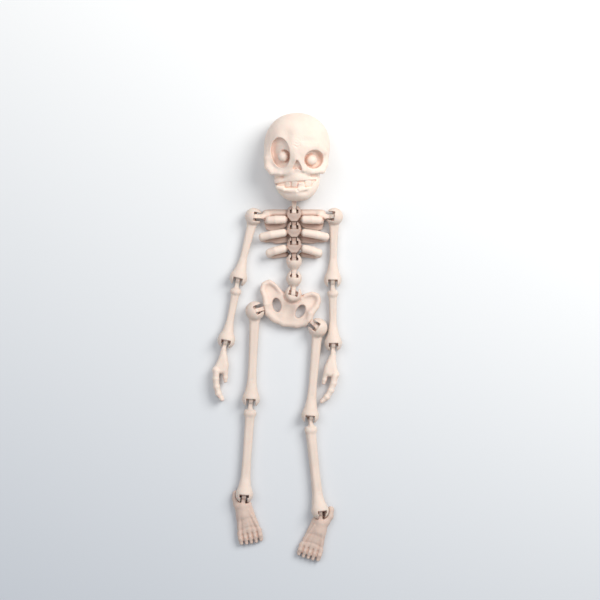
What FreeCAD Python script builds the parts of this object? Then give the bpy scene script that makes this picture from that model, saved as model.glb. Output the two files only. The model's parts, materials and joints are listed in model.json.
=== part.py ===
import FreeCAD, Part
import math
import os
import re

# Articulated skeleton figure, printed in place from one plastic, lying on its back.
# The figure lies on the plane Z = 0 with its face up, +Y points to the head and +X to the
# side called right. Every link is a closed ring that a cross pin inside a split ball holds.
# Each piece is built in a frame of its own, with its upper link at X = 0, Y = 0 and the
# piece reaching down to -Y, and a Placement then lays it where it rests in the figure.

os.makedirs("parts", exist_ok=True)
doc = FreeCAD.newDocument("skeleton_figure")

DIMENSIONS = {
    # Links
    "pin_height": (4.2, "height of every link's pin over the table"),
    "limb_ball": (4.3, "radius of the split ball at shoulder, elbow, wrist, knee and ankle"),
    "hip_ball": (4.8, "radius of the split ball at the hip"),
    "limb_slot": (4.6, "width of the slot in a limb's ball"),
    "limb_cavity": (3.15, "radius of the round cavity that a limb's ring turns in"),
    "limb_pin": (0.8, "radius of a limb's cross pin"),
    "limb_ring": (2.7, "outer radius of a limb's ring"),
    "limb_eye": (1.55, "radius of the hole in a limb's ring"),
    "limb_bar": (2.1, "width of a limb's ring and its bar"),
    "chest_ball": (3.5, "radius of the socket barrel of a chest vertebra"),
    "lumbar_ball": (4.0, "radius of the socket barrel of a lumbar vertebra and the pelvis"),
    "spine_slot": (3.7, "width of the slot in a vertebra"),
    "spine_cavity": (2.6, "radius of the round cavity that a vertebra's ring turns in"),
    "spine_pin": (0.7, "radius of a vertebra's cross pin"),
    "spine_ring": (2.25, "outer radius of a vertebra's ring"),
    "spine_eye": (1.15, "radius of the hole in a vertebra's ring"),
    "spine_bar": (2.5, "width of a vertebra's ring and its bar"),
    "bar_depth": (2.2, "depth of every link's bar, square to its width"),
    "bar_hold": (2.5, "length of a ring's bar inside its own piece"),
    "hip_ring_reach": (6.2, "length of a hip ring's bar from its pin"),
    "hand_ring_reach": (6.4, "length of a wrist ring's bar from its pin"),
    "foot_ring_reach": (6.6, "length of an ankle ring's bar from its pin"),
    # Spine
    "chest_pitch": (7.8, "link to link along a chest vertebra"),
    "third_pitch": (8.5, "link to link along the third rib vertebra"),
    "lumbar_pitch": (8.5, "link to link along the upper lumbar vertebra"),
    "lower_pitch": (8.1, "link to link along the lower lumbar vertebra"),
    "rib_height": (4.0, "height of a rib's bar along the spine"),
    "rib_depth": (8.2, "height of a rib's front over the table"),
    "rib_front": (2.6, "thickness of a rib's front bar"),
    "rib_gap": (3.3, "half of the gap between the front ends of two ribs"),
    "first_rib_reach": (14.7, "reach of the first rib from the spine"),
    "second_rib_reach": (17.2, "reach of the second rib from the spine"),
    "third_rib_reach": (14.7, "reach of the third rib from the spine"),
    "first_rib_drop": (5.0, "middle of the first rib below its vertebra's link"),
    "second_rib_drop": (3.8, "middle of the second rib below its vertebra's link"),
    "third_rib_drop": (4.1, "middle of the third rib below its vertebra's link"),
    "rib_slope": (10.0, "slope of the second and third ribs down to their outer ends"),
    "rib_tilt": (25.0, "tilt of a rib's front towards the head"),
    "link_room": (0.45, "space that a piece leaves round its neighbour's ball"),
    "plate_depth": (2.2, "thickness of the back plates"),
    "collar_reach": (14.8, "reach of the collar plate from the spine"),
    "shoulder_reach": (20.1, "shoulder link from the spine"),
    "shoulder_drop": (2.1, "shoulder link below the neck link"),
    # Arms and legs
    "upper_arm_length": (31.6, "shoulder link to elbow link"),
    "forearm_length": (31.5, "elbow link to wrist link"),
    "thigh_length": (43.9, "hip link to knee link"),
    "shin_length": (47.7, "knee link to ankle link"),
    "arm_shaft": (1.95, "radius of the upper arm's shaft"),
    "forearm_shaft": (1.85, "radius of the forearm's shaft"),
    "thigh_shaft": (2.2, "radius of the thigh's shaft"),
    "shin_shaft": (2.35, "radius of the shin's shaft"),
    "shaft_height": (2.5, "height of the shafts' centre line over the table"),
    "flare_start": (9.5, "start of a shaft's flare above its lower link"),
    "flare_length": (7.5, "length of a shaft's flare into its lower ball"),
    "knob_gap": (4.75, "link to the start of the bone beyond a ring"),
    "shoulder_mouth": (6.0, "turn of the shoulder ball's slot above square to the arm"),
    "hip_mouth": (30.0, "turn of the hip ball's slot above square to the thigh"),
    # Pelvis
    "hip_reach": (16.2, "hip link from the middle of the pelvis"),
    "hip_drop": (13.1, "hip link below the pelvis's own link"),
    "hip_slant": (30.0, "slant of the hip rings' bars below square"),
    "left_wing_reach": (16.4, "reach of the left wing from the middle of the pelvis"),
    "right_wing_reach": (13.9, "reach of the right wing from the middle of the pelvis"),
    "pelvis_drop": (17.2, "bottom of the pelvis below its link"),
    "pelvis_depth": (6.0, "thickness of the pelvis"),
    # Skull
    "cranium": (16.9, "radius of the brain case"),
    "cranium_height": (7.4, "height of the brain case's centre over the table"),
    "cranium_rise": (32.4, "brain case's centre above the neck link"),
    "skull_shift": (1.5, "middle of the skull to the right of the neck link"),
    "face_depth": (16.5, "height of the jaw's front over the table"),
    "jaw_half_width": (11.5, "half of the jaw's width below the cheekbones"),
    "chin_rise": (6.0, "chin above the neck link"),
    "left_eyeball": (2.5, "radius of the left eyeball"),
    "right_eyeball": (2.6, "radius of the right eyeball"),
    # Hands and feet
    "palm_depth": (6.0, "thickness of the hand"),
    "finger": (1.5, "radius of a finger"),
    "foot_depth": (4.6, "thickness of the foot at the toes"),
    "instep_depth": (6.8, "height of the foot at the instep"),
    "toe": (1.25, "radius of a toe"),
    "heel": (2.6, "radius of the heel's bar"),
    "toe_in": (19.0, "turn of the foot inwards from its ring's bar"),
    "ankle_room": (4.8, "radius of the hollow that the foot leaves for the ankle's ball"),
    "softness": (1.0, "rounding of the flat pieces' edges"),
    # The resting figure
    "neck_across": (8.34, "neck link to the right of the figure's middle"),
    "neck_along": (62.42, "neck link above the figure's middle"),
}

sheet = doc.addObject("Spreadsheet::Sheet", "dims")
for row, (alias, (value, note)) in enumerate(DIMENSIONS.items(), start=1):
    sheet.set(f"A{row}", note)
    sheet.set(f"B{row}", str(value))
    sheet.setAlias(f"B{row}", alias)
doc.recompute()


def size(alias):
    """One driving dimension, read back from the sheet."""
    return float(sheet.get(alias))


def bound(formula):
    """A formula over the driving dimensions, as the document's objects take it."""
    def link(match):
        word = match.group()
        return f"dims.{word}" if word in DIMENSIONS else word
    return re.sub(r"[a-z_]+", link, str(formula))


def place(item, at, turn=(0, 0, 0)):
    """Turn an item by yaw, pitch and roll, and set its position or bind it to formulas."""
    fixed = [0 if isinstance(value, str) else value for value in at]
    item.Placement = FreeCAD.Placement(FreeCAD.Vector(*fixed), FreeCAD.Rotation(*turn))
    for axis, formula in zip("xyz", at):
        if isinstance(formula, str):
            item.setExpression(f"Placement.Base.{axis}", bound(formula))
    return item


def shape(kind, name, sizes, at=(0, 0, 0), turn=(0, 0, 0)):
    """One primitive with its sizes and its position bound to formulas."""
    item = doc.addObject(f"Part::{kind}", name)
    for property_name, formula in sizes.items():
        item.setExpression(property_name, bound(formula))
    return place(item, at, turn)


def box(name, across, along, deep, middle, turn=(0, 0, 0)):
    """A box given by its three sizes and the middle of its lowest face."""
    corner = (f"-({across}) / 2", f"-({along}) / 2", "0")
    block = shape("Box", f"{name}_block", {"Length": across, "Width": along, "Height": deep}, corner)
    return fuse(name, [block], middle, turn)


def fuse(name, items, at=(0, 0, 0), turn=(0, 0, 0)):
    """Items joined in one solid."""
    if len(items) == 1:
        item = doc.addObject("Part::Compound", name)
        item.Links = items
    else:
        item = doc.addObject("Part::MultiFuse", name)
        item.Shapes = items
    return place(item, at, turn)


def cut(name, base, tool):
    """A base with a tool taken out of it."""
    item = doc.addObject("Part::Cut", name)
    item.Base = base
    item.Tool = tool
    return item


def sphere(name, radius, at):
    return shape("Sphere", name, {"Radius": radius}, at)


def cross_cylinder(name, radius, length):
    """A cylinder along X, centred on the origin."""
    start = (f"-({length}) / 2", 0, 0)
    return shape("Cylinder", name, {"Radius": radius, "Height": length}, start, (0, 90, 0))


def tapered(name, upper, lower, start, length, height, across=0):
    """A round shaft that runs down -Y from a start, with a radius at each end."""
    return shape(
        "Cone",
        name,
        {"Radius1": upper, "Radius2": f"{lower} + 0.001", "Height": length},
        (across, start, height),
        (0, 0, 90),
    )


def capsule(name, radius, start, end):
    """A round bar with ball ends between two points, made in code from its two ends."""
    first = FreeCAD.Vector(*start)
    last = FreeCAD.Vector(*end)
    run = last - first
    bar = Part.makeCylinder(radius, run.Length, first, run)
    balls = [Part.makeSphere(radius, point) for point in (first, last)]
    item = doc.addObject("Part::Feature", name)
    item.Shape = bar.multiFuse(balls)
    return item


def plate(name, points, depth, rounding, at=(0, 0, 0), turn=(0, 0, 0)):
    """A plate with a smooth closed outline, drawn in by its corner points, and a rounded front edge."""
    body = doc.addObject("PartDesign::Body", name)
    sketch = body.newObject("Sketcher::SketchObject", f"{name}_outline")
    bed = [plane for plane in body.Origin.OriginFeatures if plane.Role == "XY_Plane"][0]
    sketch.AttachmentSupport = (bed, [""])
    sketch.MapMode = "FlatFace"
    curve = Part.BSplineCurve()
    curve.buildFromPoles([FreeCAD.Vector(x, y, 0) for x, y in points], True, 3)
    sketch.addGeometry(curve, False)
    pad = body.newObject("PartDesign::Pad", f"{name}_pad")
    pad.Profile = sketch
    pad.setExpression("Length", bound(depth))
    doc.recompute()
    front = [
        f"Edge{number}"
        for number, edge in enumerate(pad.Shape.Edges, start=1)
        if edge.BoundBox.ZMin > size_of(depth) - 0.01
    ]
    rounded = body.newObject("PartDesign::Fillet", f"{name}_rounding")
    rounded.Base = (pad, front)
    rounded.setExpression("Radius", bound(rounding))
    body.Tip = rounded
    return place(body, at, turn)


def size_of(formula):
    """The value of a formula over the driving dimensions."""
    values = {alias: size(alias) for alias in DIMENSIONS}
    words = re.sub(r"[a-z_]+", lambda match: str(values[match.group()]), str(formula))
    total = 0.0
    for term in words.split("+"):
        product = 1.0
        for factor in term.split("*"):
            product *= float(factor)
        total += product
    return total


def mirrored(points):
    """A half outline, listed from its top to its bottom, completed about X = 0."""
    return points + [(-x, y) for x, y in reversed(points) if x > 0.01]


# Links

def ring(name, family, reach, at, turn=0):
    """A link's ring round its pin, with a bar that runs down -Y as far as the reach."""
    bar = f"{family}_bar"
    disc = cross_cylinder(f"{name}_disc", f"{family}_ring", bar)
    arm = shape(
        "Box",
        f"{name}_arm",
        {"Length": bar, "Width": reach, "Height": "bar_depth"},
        (f"-{bar} / 2", f"-({reach})", "-bar_depth / 2"),
    )
    whole = fuse(f"{name}_whole", [disc, arm])
    eye = cross_cylinder(f"{name}_eye", f"{family}_eye", f"{bar} + 2")
    return place(cut(name, whole, eye), at, (turn, 0, 0))


def socket_hollow(name, family, ball, at, turn=0):
    """What a split ball leaves open: a round cavity, and a slot that opens it to +Y."""
    slot = f"{family}_slot"
    cavity = cross_cylinder(f"{name}_cavity", f"{family}_cavity", slot)
    mouth = shape(
        "Box",
        f"{name}_mouth",
        {"Length": slot, "Width": f"{ball} + 3", "Height": f"2 * {ball} + 6"},
        (f"-{slot} / 2", 0, f"-{ball} - 3"),
    )
    return fuse(name, [cavity, mouth], at, (turn, 0, 0))


def socket_pin(name, family, at, turn=0):
    """The cross pin of a split ball."""
    pin = cross_cylinder(f"{name}_rod", f"{family}_pin", f"{family}_slot + 1")
    return fuse(name, [pin], at, (turn, 0, 0))


def table(name):
    """All that lies below the table, which leaves each piece a flat back."""
    reach = 160
    return shape(
        "Box",
        f"{name}_table",
        {"Length": reach, "Width": reach, "Height": 20},
        (-reach / 2, -reach / 2, -20),
    )


def piece(name, solids, sockets=(), rings=(), hollows=()):
    """A piece of the figure: solids, less its sockets and its hollows, plus its rings.

    A socket is its family, its ball, its position and the turn of its mouth from +Y.
    """
    hollow_items = list(hollows)
    pins = []
    for number, (family, ball, at, turn) in enumerate(sockets, start=1):
        hollow_items.append(socket_hollow(f"{name}_hollow_{number}", family, ball, at, turn))
        pins.append(socket_pin(f"{name}_pin_{number}", family, at, turn))
    body = fuse(f"{name}_body", solids)
    opened = cut(f"{name}_opened", body, fuse(f"{name}_hollows", hollow_items + [table(name)]))
    whole = fuse(name, [opened] + pins + list(rings))
    whole.Label = name
    return whole


LINK_AT_TOP = (0, 0, "pin_height")


# Skull

def skull():
    name = "skull"
    middle = "skull_shift"
    left_eye = ("skull_shift - 8", "cranium_rise - 3.0")
    right_eye = ("skull_shift + 8", "cranium_rise - 5.4")
    brain_case = sphere(f"{name}_brain_case", "cranium", (middle, "cranium_rise", "cranium_height"))
    half = size("jaw_half_width")
    chin = size("chin_rise")
    jaw_points = mirrored([
        (0, chin + 17),
        (half, chin + 17),
        (half + 1, chin + 10.5),
        (half - 1.2, chin + 4),
        (half - 5, chin - 0.6),
        (0, chin - 0.6),
    ])
    jaw = plate(f"{name}_jaw", jaw_points, "face_depth", "2.6 * softness", (middle, 0, 0))
    solids = [brain_case, jaw]
    for side, sign in (("left", -1), ("right", 1)):
        solids.append(shape(
            "Ellipsoid",
            f"{name}_{side}_cheekbone",
            {"Radius1": 4.2, "Radius2": 5.2, "Radius3": 3.4},
            (f"skull_shift + {sign * 10.2}", "cranium_rise - 10.3", "face_depth - 2.2"),
            (sign * 12, 0, 0),
        ))
        eye = left_eye if side == "left" else right_eye
        solids.append(shape(
            "Ellipsoid",
            f"{name}_{side}_brow",
            {"Radius1": 3.2, "Radius2": 5.8, "Radius3": 2.6},
            (eye[0], f"{eye[1]} + {8.0 if side == 'left' else 5.8}", "face_depth + 1.6"),
            (sign * -8, 0, 0),
        ))
    left_hollow = shape(
        "Ellipsoid",
        f"{name}_left_eye_hollow",
        {"Radius1": 8.0, "Radius2": 4.6, "Radius3": 7.2},
        (left_eye[0], f"{left_eye[1]} + 0.4", "face_depth + 5"),
    )
    right_hollow = shape(
        "Ellipsoid",
        f"{name}_right_eye_hollow",
        {"Radius1": 8.0, "Radius2": 4.7, "Radius3": 4.7},
        (right_eye[0], right_eye[1], "face_depth + 5"),
    )
    nose = fuse(f"{name}_nose", [
        capsule(f"{name}_nose_left", 0.9, (0.1, 26.0, 22.5), (-1.4, 22.8, 19.5)),
        capsule(f"{name}_nose_right", 0.9, (2.3, 26.0, 22.5), (3.9, 22.4, 19.5)),
    ])
    mouth = shape(
        "Box",
        f"{name}_mouth",
        {"Length": "2 * jaw_half_width - 4.5", "Width": 2.9, "Height": 4},
        ("skull_shift - jaw_half_width + 2.2", "chin_rise + 7.0", "face_depth - 2.2"),
    )
    features = []
    teeth = ((-6.0, 2.2), (-2.0, 3.2), (1.4, 2.9), (5.4, 2.9))
    for number, (across, wide) in enumerate(teeth, start=1):
        features.append(shape(
            "Box",
            f"{name}_tooth_{number}",
            {"Length": wide, "Width": 3.3, "Height": 3.6},
            (f"skull_shift + {across - wide / 2}", "chin_rise + 6.8", "face_depth - 3"),
        ))
    left_ball_at = ("skull_shift - 6.75", "cranium_rise - 4.6", "face_depth + 0.4")
    right_ball_at = ("skull_shift + 7.3", "cranium_rise - 6.2", "face_depth + 0.4")
    features.append(sphere(f"{name}_left_eyeball", "left_eyeball", left_ball_at))
    features.append(sphere(f"{name}_right_eyeball", "right_eyeball", right_ball_at))
    features.append(ring(f"{name}_neck", "spine", "chin_rise + 3", LINK_AT_TOP, 180))
    return piece(name, solids, rings=features, hollows=[left_hollow, right_hollow, nose, mouth])


# Spine

def rib_pair(name, reach, drop, slope):
    """Two ribs, each a flat loop from the back round its outer end to a free front end."""
    tilt = size("rib_tilt")
    ribs = []
    for side, sign in (("left", -1), ("right", 1)):
        rims = []
        for rim, inset_across, inset_deep in (("outer", "0", "0"), ("inner", "2.4", "rib_front")):
            oval = doc.addObject("Part::Ellipse", f"{name}_{side}_{rim}_oval")
            oval.setExpression("MajorRadius", bound(f"{reach} / 2 - {inset_across}"))
            oval.setExpression("MinorRadius", bound(f"rib_depth / 2 - {inset_deep} * 0.8"))
            prism = doc.addObject("Part::Extrusion", f"{name}_{side}_{rim}_prism")
            prism.Base = oval
            prism.DirMode = "Normal"
            prism.Solid = True
            prism.Symmetric = True
            prism.setExpression("LengthFwd", bound("rib_height" if rim == "outer" else "rib_height + 2"))
            rims.append(prism)
        loop = cut(f"{name}_{side}_loop", *rims)
        across = f"{sign} * {reach} / 2"
        stood = fuse(f"{name}_{side}_stood", [loop], (across, 0, 0), (0, 0, 90))
        middle = (0, f"-{drop}", "rib_depth / 2")
        ribs.append(fuse(f"{name}_{side}_rib", [stood], middle, (-sign * slope, 0, -tilt)))
    pair = fuse(f"{name}_ribs_whole", ribs)
    front_gap = box(f"{name}_front_gap", "2 * rib_gap", 30, 12, (0, f"-{drop}", "plate_depth + 0.4"))
    return cut(f"{name}_ribs", pair, front_gap)


def vertebra_core(name, ball):
    """The barrel of a vertebra, with a foot under it that reaches the table."""
    barrel = sphere(f"{name}_barrel", ball, LINK_AT_TOP)
    foot = shape(
        "Box",
        f"{name}_foot",
        {"Length": f"1.4 * {ball}", "Width": f"{ball}", "Height": "pin_height"},
        (f"-0.7 * {ball}", f"-{ball}", 0),
    )
    return [barrel, foot]


def next_room(name, ball, pitch):
    """The round hollow that a vertebra leaves for the ball of the next one down."""
    return sphere(f"{name}_room", f"{ball} + link_room", (0, f"-{pitch}", "pin_height"))


def chest_vertebra():
    name = "chest_vertebra"
    reach = size("collar_reach")
    collar_points = mirrored([
        (0, -0.6),
        (4.5, 0.6),
        (reach - 3, 1.2),
        (reach, -2.2),
        (reach - 1.0, -6.0),
        (reach - 3.2, -8.2),
        (5.0, -7.4),
        (0, -5.2),
    ])
    collar = plate(f"{name}_collar", collar_points, "plate_depth + 0.6", "softness * 0.6")
    ribs = rib_pair(name, "first_rib_reach", "first_rib_drop", 0)
    solids = vertebra_core(name, "chest_ball") + [collar, ribs]
    rings = [ring(f"{name}_lower", "spine", "chest_pitch - bar_hold", (0, "-chest_pitch", "pin_height"), 180)]
    for side, sign in (("left", -1), ("right", 1)):
        rings.append(ring(
            f"{name}_{side}_shoulder",
            "limb",
            "shoulder_reach - collar_reach + bar_hold",
            (f"{sign} * shoulder_reach", "-shoulder_drop", "pin_height"),
            -sign * 90,
        ))
        root = (f"{sign} * (collar_reach - 2.4)", "-shoulder_drop", "shaft_height")
        solids.append(sphere(f"{name}_{side}_shoulder_root", "shaft_height + 0.3", root))
    room = next_room(name, "chest_ball", "chest_pitch")
    return piece(name, solids, [("spine", "chest_ball", LINK_AT_TOP, 0)], rings, [room])


def rib_vertebra(name, order, pitch, next_ball, plates):
    ribs = rib_pair(name, f"{order}_rib_reach", f"{order}_rib_drop", size("rib_slope"))
    solids = vertebra_core(name, "chest_ball") + [ribs]
    if plates:
        plate_points = mirrored([
            (0, -3.0),
            (8.0, -3.4),
            (10.4, -5.0),
            (8.6, -7.6),
            (3.4, -7.4),
            (0, -5.2),
        ])
        solids.append(plate(f"{name}_back", plate_points, "plate_depth", "softness * 0.6"))
    rings = [ring(f"{name}_lower", "spine", f"{pitch} - bar_hold", (0, f"-{pitch}", "pin_height"), 180)]
    room = next_room(name, next_ball, pitch)
    return piece(name, solids, [("spine", "chest_ball", LINK_AT_TOP, 0)], rings, [room])


def lumbar_vertebra(name, pitch, family, next_ball):
    solids = vertebra_core(name, "lumbar_ball")
    rings = [ring(f"{name}_lower", family, f"{pitch} - bar_hold", (0, f"-{pitch}", "pin_height"), 180)]
    room = next_room(name, next_ball, pitch)
    return piece(name, solids, [("spine", "lumbar_ball", LINK_AT_TOP, 0)], rings, [room])


# Pelvis

def pelvis():
    """Two uneven wings, the left one wider, with a bowl and a window each and a bar to each hip."""
    name = "pelvis"
    left = -size("left_wing_reach")
    right = size("right_wing_reach")
    bottom = -size("pelvis_drop")
    outline = [
        (0, -2.0),
        (4.2, -0.2),
        (right - 4.7, 3.9),
        (right - 1.0, 3.4),
        (right + 0.4, 0.2),
        (right, -3.8),
        (right - 2.4, -7.2),
        (right - 2.6, -11.0),
        (right - 3.4, -14.0),
        (6.4, bottom + 1.4),
        (0, bottom),
        (-6.4, bottom + 1.2),
        (left + 5.4, -14.2),
        (left + 4.8, -10.6),
        (left + 4.0, -7.6),
        (left + 2.0, -5.0),
        (left - 0.6, -1.8),
        (left + 0.2, 2.2),
        (left + 3.2, 4.4),
        (left + 7.6, 2.6),
        (-4.8, 0.0),
    ]
    solids = [
        plate(f"{name}_wings", outline, "pelvis_depth", "softness * 1.4"),
        sphere(f"{name}_barrel", "limb_ball", LINK_AT_TOP),
    ]
    hollows = [shape(
        "Ellipsoid",
        f"{name}_middle_hollow",
        {"Radius1": 2.6, "Radius2": 2.6, "Radius3": 3.6},
        (0, "-hip_drop + 4.6", "pelvis_depth + 0.6"),
    )]
    rings = []
    for side, sign, lean in (("left", -1, 26), ("right", 1, -14)):
        hollows.append(shape(
            "Ellipsoid",
            f"{name}_{side}_window",
            {"Radius1": 12, "Radius2": 2.1, "Radius3": 3.4},
            (f"{sign * 6.1}", "-hip_drop + 5.6", "pelvis_depth / 2"),
            (lean, 0, 0),
        ))
        hollows.append(shape(
            "Ellipsoid",
            f"{name}_{side}_wing_bowl",
            {"Radius1": 3.0, "Radius2": 4.2, "Radius3": 3.0},
            (f"{sign} * ({side}_wing_reach - 4.6)", -0.6, "pelvis_depth + 1.4"),
            (sign * -20, 0, 0),
        ))
        rings.append(ring(
            f"{name}_{side}_hip",
            "limb",
            "hip_ring_reach",
            (f"{sign} * hip_reach", "-hip_drop", "pin_height"),
            -sign * (90 + size("hip_slant")),
        ))
    return piece(name, solids, [("limb", "limb_ball", LINK_AT_TOP, 0)], rings, hollows)


# Arms and legs

def shaft(name, length, radius, ball, top):
    """A bone's shaft from a top radius, slim in the middle, flared into its lower ball."""
    height = "shaft_height"
    middle = f"({length}) * 0.45"
    lower = f"({length}) - flare_start"
    return [
        tapered(f"{name}_upper_shaft", top, radius, "-knob_gap + 1.2", f"{middle} - knob_gap + 1.2", height),
        tapered(f"{name}_lower_shaft", radius, radius, f"-({middle})", f"{lower} - {middle}", height),
        tapered(f"{name}_flare", radius, f"{ball} - 1.2", f"-({lower})", "flare_length", "shaft_height + 0.5"),
        sphere(f"{name}_lower_ball", ball, (0, f"-({length})", "pin_height")),
    ]


def bone_with_two_balls(name, length, radius, upper_ball, mouth):
    """An upper arm or a thigh: a split ball at each end."""
    solids = shaft(name, length, radius, "limb_ball", f"{radius} + 0.7")
    solids.append(sphere(f"{name}_upper_ball", upper_ball, LINK_AT_TOP))
    sockets = [
        ("limb", upper_ball, LINK_AT_TOP, mouth),
        ("limb", "limb_ball", (0, f"-{length}", "pin_height"), 180),
    ]
    return piece(name, solids, sockets)


def bone_with_ring(name, length, radius):
    """A forearm or a shin: a ring and a knob at the top and a split ball below."""
    start = "knob_gap + 0.2"
    knob = size(radius) - 0.15
    knob_start = -size("knob_gap") - 0.2 - knob
    lower = f"({length}) - flare_start"
    solids = [
        capsule(f"{name}_knob", knob, (-1.1, knob_start, knob + 0.3), (1.1, knob_start, knob + 0.3)),
        tapered(
            f"{name}_long_shaft",
            f"{radius} + 0.2",
            radius,
            f"-({start}) - 2.3",
            f"{lower} - ({start}) - 2.3",
            "shaft_height",
        ),
        tapered(f"{name}_flare", radius, "limb_ball - 1.2", f"-({lower})", "flare_length", "shaft_height + 0.5"),
        sphere(f"{name}_lower_ball", "limb_ball", (0, f"-({length})", "pin_height")),
    ]
    sockets = [("limb", "limb_ball", (0, f"-{length}", "pin_height"), 180)]
    rings = [ring(f"{name}_upper", "limb", f"{start} + bar_hold", LINK_AT_TOP)]
    return piece(name, solids, sockets, rings)


# Hands and feet

def hand(name, sign):
    """A hand seen edge on, with its thumb and its curled fingers towards the body."""
    palm_points = [
        (0, -4.9),
        (-sign * 2.6, -6.2),
        (-sign * 3.9, -10.0),
        (-sign * 4.3, -14.4),
        (-sign * 2.0, -16.4),
        (sign * 1.0, -17.6),
        (sign * 1.9, -14.6),
        (sign * 1.5, -9.0),
        (sign * 1.2, -6.2),
    ]
    if sign < 0:
        palm_points.reverse()
    solids = [plate(f"{name}_palm", palm_points, "palm_depth", "softness * 0.8")]
    thumb_points = [(-sign * 3.2, -13.6), (-sign * 3.9, -16.6), (-sign * 4.6, -19.4)]
    for number, (start, end) in enumerate(zip(thumb_points, thumb_points[1:]), start=1):
        radius = 1.35 - 0.15 * number
        solids.append(capsule(f"{name}_thumb_{number}", radius, (*start, 3.2), (*end, 3.2)))
    finger_points = [
        (sign * 0.2, -15.4),
        (sign * 0.3, -20.2),
        (-sign * 0.4, -24.2),
        (-sign * 2.4, -27.2),
        (-sign * 5.0, -28.8),
    ]
    for layer, height in enumerate((1.7, 4.2), start=1):
        for number, (start, end) in enumerate(zip(finger_points, finger_points[1:]), start=1):
            radius = size("finger") + 0.2 - 0.13 * number
            bone_name = f"{name}_finger_{layer}_{number}"
            solids.append(capsule(bone_name, radius, (*start, height), (*end, height)))
    rings = [ring(f"{name}_upper", "limb", "hand_ring_reach", LINK_AT_TOP)]
    return piece(name, solids, rings=rings)


def foot(name, sign):
    """A foot that lies on its sole, turned in from its ring's bar."""
    outline = [
        (sign * 6.6, -1.6),
        (sign * 6.2, -6.4),
        (sign * 6.9, -13.7),
        (sign * 7.3, -21.6),
        (sign * 1.4, -22.8),
        (-sign * 4.9, -22.0),
        (-sign * 3.9, -15.5),
        (-sign * 2.8, -8.6),
        (-sign * 2.4, -2.6),
        (sign * 2.6, -0.8),
    ]
    if sign > 0:
        outline.reverse()
    yaw = -sign * size("toe_in")
    solids = [
        plate(f"{name}_sole", outline, "foot_depth", "softness * 0.8", turn=(yaw, 0, 0)),
    ]
    toes = []
    for number in range(5):
        across = sign * (-3.7 + 2.4 * number)
        tip = -25.1 + 0.28 * (number - 1) ** 2 * (0.4 if number > 1 else 1.0)
        root = (across, -19.6, 1.9)
        end = (across, tip + 0.6, 1.5)
        toes.append(capsule(f"{name}_toe_{number + 1}", size("toe"), root, end))
    instep = tapered(f"{name}_instep", "instep_depth - 2.9", 1.9, -3.6, 14.5, 2.9, sign * 1.7)
    heel = capsule(f"{name}_heel", size("heel"), (sign * 5.6, 2.4, 2.5), (sign * 5.2, -4.0, 2.5))
    solids.append(fuse(f"{name}_front", toes + [instep, heel], turn=(yaw, 0, 0)))
    room = sphere(f"{name}_ankle_room", "ankle_room", LINK_AT_TOP)
    rings = [ring(f"{name}_upper", "limb", "foot_ring_reach", LINK_AT_TOP)]
    return piece(name, solids, rings=rings, hollows=[room])


# The resting figure

parts = {}


def lay(item, x, y, yaw, roll=0, lift=0):
    """Lay a piece on the table with its upper link over a point."""
    link = FreeCAD.Vector(0, 0, size("pin_height"))
    rolled = FreeCAD.Rotation(FreeCAD.Vector(0, 1, 0), roll)
    turned = FreeCAD.Rotation(FreeCAD.Vector(0, 0, 1), yaw).multiply(rolled)
    base = FreeCAD.Vector(x, y, size("pin_height") + lift) - turned.multVec(link)
    item.Placement = FreeCAD.Placement(base, turned)
    parts[item.Label] = item


def below(x, y, yaw, length):
    """The point a length down a piece that is laid at a point with a yaw."""
    angle = math.radians(yaw)
    return x + length * math.sin(angle), y - length * math.cos(angle)


def beside(x, y, yaw, across, down):
    """The point across and down in the frame of a piece laid at a point with a yaw."""
    angle = math.radians(yaw)
    return (
        x + across * math.cos(angle) + down * math.sin(angle),
        y + across * math.sin(angle) - down * math.cos(angle),
    )


NECK = (size("neck_across"), size("neck_along"))
LOWER_LUMBAR_YAW = -3
PELVIS_YAW = -15
ARM_YAWS = {"left": (-14, -11, -15), "right": (-1.5, 0.5, 0)}
LEG_YAWS = {"left": (-2.6, -4, -8), "right": (-5, 6, 2)}
SHIN_ROLLS = {"left": 0, "right": 18}

lay(skull(), *NECK, 0)
lay(chest_vertebra(), *NECK, 0)
spine_link = below(*NECK, 0, size("chest_pitch"))
lay(rib_vertebra("second_rib_vertebra", "second", "chest_pitch", "chest_ball", True), *spine_link, 0)
spine_link = below(*spine_link, 0, size("chest_pitch"))
lay(rib_vertebra("third_rib_vertebra", "third", "third_pitch", "lumbar_ball", False), *spine_link, 0)
spine_link = below(*spine_link, 0, size("third_pitch"))
upper_lumbar = lumbar_vertebra("upper_lumbar_vertebra", "lumbar_pitch", "spine", "lumbar_ball")
lay(upper_lumbar, *spine_link, 0)
spine_link = below(*spine_link, 0, size("lumbar_pitch"))
lower_lumbar = lumbar_vertebra("lower_lumbar_vertebra", "lower_pitch", "limb", "limb_ball")
lay(lower_lumbar, *spine_link, LOWER_LUMBAR_YAW)
pelvis_link = below(*spine_link, LOWER_LUMBAR_YAW, size("lower_pitch"))
lay(pelvis(), *pelvis_link, PELVIS_YAW)

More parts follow.
